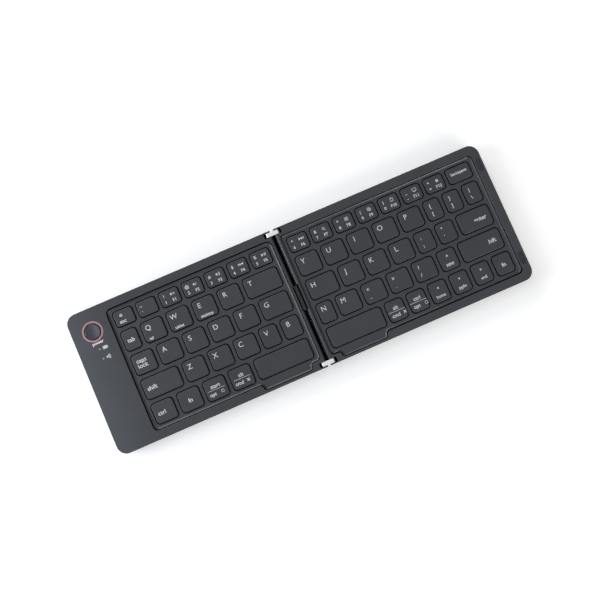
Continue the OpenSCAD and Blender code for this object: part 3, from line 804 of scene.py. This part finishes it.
def word_faces(word, height, align):
    """The corners and faces of a word whose capitals have this height, on the baseline."""
    text = bpy.data.curves.new("word", "FONT")
    text.body = word
    text.size = height / CAP_SHARE
    text.offset = EXTRA_STROKE if height < BOLD_BELOW else 0
    text.resolution_u = 4
    text.align_x = align
    carrier = bpy.data.objects.new("word", text)
    flat = bpy.data.meshes.new_from_object(carrier)
    points = [v.co.copy() for v in flat.vertices]
    faces = [list(face.vertices) for face in flat.polygons]
    bpy.data.objects.remove(carrier)
    bpy.data.curves.remove(text)
    bpy.data.meshes.remove(flat)
    return points, faces


def stamp(mesh, points, faces, surface):
    """Adds flat faces to the mesh as a film on the surface: top, underside and walls."""
    tops = [mesh.verts.new((p[0], p[1], surface(p[0], p[1]) + INK_ABOVE)) for p in points]
    feet = [mesh.verts.new((p[0], p[1], surface(p[0], p[1]) - INK_BELOW)) for p in points]
    for face in faces:
        mesh.faces.new([tops[i] for i in face])
        mesh.faces.new([feet[i] for i in reversed(face)])
    edges = dict.fromkeys(edge for face in faces for edge in zip(face, face[1:] + face[:1]))
    for a, b in edges:
        if (b, a) not in edges:
            mesh.faces.new((tops[a], feet[a], feet[b], tops[b]))


def put_sign(mesh, sign, low, high, surface):
    """Prints one sign: what, across, down and height in mm, and which part of it is at `across`.
    Across counts from the left edge, or from the right one if negative; 0 is the middle."""
    what, across, down, height, align = (*sign, "CENTER")[:5]
    middle = (low.x + high.x) / 2
    if across:
        middle = (low.x if across > 0 else high.x) + across * MM
    y = high.y - down * MM
    if what in MARKS:
        for shape in MARKS[what]:
            half = height / 2 * MM
            points = [(middle + p[0] * half, y + p[1] * half) for p in shape]
            stamp(mesh, points, [list(range(len(points)))], surface)
        return
    points, faces = word_faces(what, height * MM, align)
    base = y - height * MM / 2
    stamp(mesh, [(middle + p.x, base + p.y) for p in points], faces, surface)


print("the film stands above the caps by, in mm:", round(INK_ABOVE / MM, 3))

# %% [markdown]
# The signs of each key follow. A letter stands near the rear left corner. A number key has
# four signs: two for typing at the left, and its function at the right. The bottom row names
# two functions a key, with a line between them. Each sign is: what, across, down, height.


# %% What is printed on each key
LETTER_H = 3.4
WORD_H = 2.8
SMALL_H = 2.0


def number_signs(upper, lower, mark="", function=""):
    """A number key's four signs."""
    signs = [(upper, 3.1, 3.6, SMALL_H), (lower, 3.1, 7.9, SMALL_H)]
    if mark:
        signs += [(mark, 9.4, 3.8, 2.4), (function, 9.4, 8.0, SMALL_H)]
    return signs


def pair(upper, lower):
    """A punctuation key's two signs."""
    return [(upper, 4.1, 4.4, 2.4), (lower, 4.1, 9.8, 2.4)]


def two_functions(upper, lower, mark):
    """Two function words with a line between them and a mark after the lower one."""
    return [(upper, 0, 5.2, 2.5), ("line", 0, 7.6, 2.2), (lower, 1.9, 10.3, 2.4, "LEFT"),
            (mark, 11.4, 10.2, 2.2)]


def arrow_key(arrow_name, word):
    """An arrow, and below it what the key does together with fn."""
    return [(arrow_name, 0, 4.6, 2.0), (word, 0, 10.3, 2.0)]


letters = "qwertyuiopasdfghjklzxcvbnm"
signs = {"key_" + letter: [[(letter.upper(), 4.6, 4.4, LETTER_H)]] for letter in letters}
for letter, device in (("q", "tel"), ("w", "tablet"), ("e", "desktop")):
    signs["key_" + letter][0].append((device, 2.8, 11.9, 1.9, "LEFT"))
signs["number_keys_left"] = [
    [("round", 5.2, 3.7, 2.2), ("esc", 5.2, 7.8, 2.5)],
    number_signs("~", "`"),
    number_signs("!", "1", "mute", "F1"), number_signs("@", "2", "quieter", "F2"),
    number_signs("#", "3", "louder", "F3"), number_signs("$", "4", "back", "F4"),
    number_signs("%", "5", "play", "F5")]
signs["number_keys_right"] = [
    number_signs("^", "6", "next", "F6"), number_signs("&", "7", "search", "F7"),
    number_signs("*", "8", "select", "F8"), number_signs("(", "9", "copy", "F9"),
    number_signs(")", "0", "paste", "F10"), number_signs("_", "-", "screen", "F11"),
    number_signs("+", "=", "padlock", "F12"),
    [("backspace", 8.6, 4.6, 1.95), ("del", 9.0, 7.9, 1.4)]]
signs["modifier_keys_left"] = [
    [("tab", 2.7, 7.3, WORD_H, "LEFT")],
    [("caps", 2.7, 5.0, WORD_H, "LEFT"), ("lock", 2.7, 8.6, WORD_H, "LEFT")],
    [("shift", 2.7, 7.1, WORD_H, "LEFT")],
    [("ctrl", 2.9, 7.5, WORD_H, "LEFT")],
    [("fn", 0, 7.5, WORD_H)],
    two_functions("start", "opt", "square"), two_functions("alt", "cmd", "cross square")]
signs["modifier_keys_right"] = [
    arrow_key("up", "pgup"), [("shift", -4.2, 7.3, WORD_H, "RIGHT")],
    two_functions("alt", "cmd", "cross square"), two_functions("ctrl", "opt", "square"),
    arrow_key("left", "home"), arrow_key("down", "pgdn"), arrow_key("right", "end"),
    [("fn", 0, 7.7, WORD_H)]]
signs["punctuation_keys"] = [
    pair("{", "["), pair("}", "]"), pair("|", "\\"), pair(":", ";"), pair('"', "'"),
    pair("<", ","), pair(">", "."), pair("?", "/")]
signs["enter_key"] = [[("enter", -3.6, 7.7, WORD_H, "RIGHT")]]
print("nodes with signs:", len(signs))

# %% [markdown]
# Each node's signs become one mesh that moves with its keys. The list of signs and the list of
# keys have to be equally long, and the loop stops with an error when they aren't.

# %% Print the keys
for node, per_key in signs.items():
    mesh = bmesh.new()
    for (low, high), key_signs in zip(keys[node], per_key, strict=True):
        for sign in key_signs:
            put_sign(mesh, sign, low, high, lambda x, y: dished(low, high, x, y))
    print_mesh = bpy.data.meshes.new(node + "_signs")
    mesh.to_mesh(print_mesh)
    mesh.free()
    show(node + "_signs", print_mesh, white_ink, node, "key")
print("printed keys:", sum(len(per_key) for per_key in signs.values()))

# %% [markdown]
# The control panel carries a word below its button and a mark beside each status light. They
# lie on the crowned top. The word glows like the ring, and the marks are plain white ink.

# %% Print the panel
panel_low, panel_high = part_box("left_top_cover")


def print_panel(name, signs, finish):
    """Signs on the control panel; down counts from the cover's rear edge."""
    mesh = bmesh.new()
    for sign in signs:
        put_sign(mesh, sign, panel_low, panel_high, lambda x, y: TOP_Z - INK_T - crown(x))
    print_mesh = bpy.data.meshes.new(name)
    mesh.to_mesh(print_mesh)
    mesh.free()
    show(name, print_mesh, finish, "left_half", "light")


print_panel("power_sign", [("power", 15.0, 24.0, 2.1)], lit_ink)
print_panel("status_signs", [("cell", 18.5, 28.7, 2.1), ("waves", 18.4, 35.4, 2.4)], white_ink)
print("panel printed, its rear edge at y in mm:", round(panel_high.y / MM, 2))

# %% [markdown]
# ## The power button
# The button is one moulded piece: a pin that presses the switch, a flange that stops it under
# the ring, and a polished head. The head is hollowed for the finger: light that comes from
# the left shines on its right part. It is turned, like a pot: a profile from the pin to the
# middle of the hollow goes round the button's own axis.

# %% Turn the button
HEAD_R = 5.4 * MM
PIN_R = 1.2 * MM
PIN_H = 0.35 * MM
FLANGE_T = 0.5 * MM
HOLLOW = 0.5 * MM
HOLLOW_RINGS = (0.96, 0.88, 0.78, 0.66, 0.54, 0.42, 0.3, 0.18, 0.08)  # shares of its radius
EDGE_R = 0.5 * MM
TURN_STEPS = 64
button_low, button_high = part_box("power_button")
axis_x, axis_y = (button_low.x + button_high.x) / 2, (button_low.y + button_high.y) / 2
flange_r = (button_high.x - button_low.x) / 2
rim_z = button_high.z
flange_z = button_low.z + PIN_H
head_z = flange_z + FLANGE_T
profile = [(PIN_R, button_low.z), (PIN_R, flange_z), (flange_r, flange_z), (flange_r, head_z),
           (HEAD_R, head_z), (HEAD_R, rim_z - EDGE_R)]
profile += [(HEAD_R - EDGE_R * (1 - cos(a)), rim_z - EDGE_R * (1 - sin(a)))
            for a in (pi / 8, pi / 4, 3 * pi / 8, pi / 2)]
profile += [(r * (HEAD_R - EDGE_R), rim_z - HOLLOW * (1 - r * r)) for r in HOLLOW_RINGS]
turns = [2 * pi * i / TURN_STEPS for i in range(TURN_STEPS)]
mesh = bmesh.new()
loft(mesh, [[(axis_x + r * cos(t), axis_y + r * sin(t), z) for t in turns] for r, z in profile])
head = bpy.data.meshes.new("power_button_head")
mesh.to_mesh(head)
mesh.free()
show("power_button_head", head, button_black, "power_button", "button", "power_button")
head.polygons.foreach_set("use_smooth", [True] * len(head.polygons))
head.set_sharp_from_angle(angle=radians(40))
print("button: rings", len(profile), "of", TURN_STEPS, "points")

# %% [markdown]
# ## The parts inside
# The circuit boards, domes, battery, magnets, screws, port, pins and cable keep their CAD
# shape: they are hidden or very small. They only need the surface of what they are made of.

# %% Remaining CAD parts
inner_finishes = {"battery": battery_foil, "charging_port": steel_nickel,
                  "hinge_pins": steel_nickel, "ribbon_cable": cable_film}
for side in ("left", "right"):
    inner_finishes[side + "_circuit_board"] = green_board
    inner_finishes[side + "_dome_sheet"] = dome_silicone
    inner_finishes[side + "_magnets"] = steel_nickel
    inner_finishes[side + "_screws"] = steel_nickel
for node, finish in inner_finishes.items():
    frame["nodes"][node].data.materials[0] = finish
print("CAD parts with their own finish:", len(inner_finishes))

# %% [markdown]
# ## Camera
# The keyboard was shot from almost straight above, turned a little. The place and the
# angles below are the ones at which the CAD model's corners and keys fall on the real ones.

# %% Camera
camera_data = bpy.data.cameras.new("photo_camera")
camera_data.lens = 42
camera_data.sensor_width = 36
camera = bpy.data.objects.new("photo_camera", camera_data)
camera.location = Vector((-14.6, -30.55, 480.8)) * MM
camera.rotation_euler = [radians(a) for a in (3.89, -0.13, -23.41)]
bpy.context.scene.collection.objects.link(camera)
bpy.context.scene.camera = camera
print("camera height in mm:", round(camera.location.z / MM))

# %% [markdown]
# ## Studio
# A product shot like this one is made on white paper in a white room. Black plastic shows
# the room more than its own colour, so the room is what lights it. The paper is lifted a
# little for the camera, as a photographer does by lighting it from beside the object, and
# the lift grows with the distance until the paper is pure white at one metre. So the shadow
# under the keyboard stays, and no edge of the paper shows.

# %% White paper floor
SPAN = 3  # half of the paper's side, in metres
PAPER_LIFT = 0.31
PAPER_Z = -0.05 * MM  # just under the feet
paper_mesh = bpy.data.meshes.new("paper")
corners = [(x, y, PAPER_Z) for x, y in ((-SPAN, -SPAN), (SPAN, -SPAN), (SPAN, SPAN), (-SPAN, SPAN))]
paper_mesh.from_pydata(corners, [], [(0, 1, 2, 3)])
paper = bpy.data.objects.new("paper", paper_mesh)
bpy.context.scene.collection.objects.link(paper)
paper_finish, tree, skin, place = new_finish("floor_white_paper")
skin.inputs["Base Color"].default_value = linear("#f2f2f2")
skin.inputs["Roughness"].default_value = 0.9
skin.inputs["Emission Color"].default_value = linear("#ffffff")
by_camera = add(tree, "ShaderNodeLightPath").outputs["Is Camera Ray"]
away = add(tree, "ShaderNodeVectorMath", {"operation": "LENGTH"}, {0: place}).outputs["Value"]
lift = between(tree, away, PAPER_LIFT, 1, 0.3, 1)  # pure white from 1 m away
seen_lift = add(tree, "ShaderNodeMath", {"operation": "MULTIPLY"}, {0: by_camera, 1: lift})
tree.links.new(seen_lift.outputs[0], skin.inputs["Emission Strength"])
paper_mesh.materials.append(paper_finish)
print("paper side in metres:", 2 * SPAN)

# %% [markdown]
# The room looks pure white. It lights the keyboard only a little, so that the lamps can model
# its shapes. In a mirror its ceiling is white and its walls are grey: that gives the nickel
# links and the edges of the keys something dark to show beside the white.

# %% White room
ROOM_LIGHT = 0.3  # what the room adds to the lamps, of the light that falls on a level sheet
ROOM_SEEN = 1  # how bright it looks
WALLS_SEEN = 0.25  # how bright its walls look in a mirror; only the ceiling is white there
world = bpy.data.worlds.new("room")
bpy.context.scene.world = world
world.use_nodes = True
tree = world.node_tree
background = tree.nodes["Background"]
background.inputs["Color"].default_value = linear("#ffffff")
rays = add(tree, "ShaderNodeLightPath").outputs
mirrored = add(tree, "ShaderNodeMath", {"operation": "MAXIMUM"},
               {0: rays["Is Glossy Ray"], 1: rays["Is Transmission Ray"]}).outputs[0]
towards = add(tree, "ShaderNodeTexCoord").outputs["Generated"]
upwards = add(tree, "ShaderNodeSeparateXYZ", links={0: towards}).outputs["Z"]
in_mirror = between(tree, upwards, WALLS_SEEN, ROOM_SEEN, 0.3, 0.93)
unseen = add(tree, "ShaderNodeMix", {2: ROOM_LIGHT}, {0: mirrored, 3: in_mirror}).outputs[0]
seen = add(tree, "ShaderNodeMix", {3: ROOM_SEEN}, {0: rays["Is Camera Ray"], 2: unseen}).outputs[0]
tree.links.new(seen, background.inputs["Strength"])
print("room nodes:", len(tree.nodes))

# %% [markdown]
# Soft lamps shape the surfaces. A window at the left draws a light line on each slope that
# faces it, and two softboxes, one behind and one in front, do the same for the other sides.
# They stand low, because a slope of 35 degrees mirrors what stands low to a camera overhead.
# A small strip lamp hangs close over the left edge. It gives the control panel its bluish
# sheen, which fades towards the keys, and shines in the button's hollow. No lamp is seen by
# the camera itself.


# %% Lamps
def softbox(name, place, aim, wide, high, power, colour):
    """A soft lamp that looks at a point; when it hangs overhead, `wide` runs front to rear."""
    data = bpy.data.lights.new(name, "AREA")
    data.shape = "RECTANGLE"
    data.size = wide
    data.size_y = high
    data.energy = power
    data.color = linear(colour)[:3]
    lamp = bpy.data.objects.new(name, data)
    lamp.location = place
    lamp.rotation_euler = (Vector(aim) - Vector(place)).to_track_quat("-Z", "Y").to_euler()
    lamp.visible_camera = False
    bpy.context.scene.collection.objects.link(lamp)


softbox("window_left", (-1.25, 0.35, 0.55), (0, 0, 0), 0.7, 0.5, 11, "#f4f9ff")
softbox("softbox_rear", (-0.3, 1.2, 0.5), (0, 0, 0), 1.0, 0.5, 9, "#ffffff")
softbox("softbox_front", (0.6, -1.1, 0.5), (0, 0, 0), 0.9, 0.5, 10, "#ffffff")
softbox("panel_sheen", (-0.192, 0.02, 0.11), (-0.15, 0.02, 0), 0.2, 0.03, 0.045, "#dde9fb")
print("lamps:", [lamp.name for lamp in bpy.data.lights])

# %% Finish
bpy.context.scene.view_settings.view_transform = "Standard"
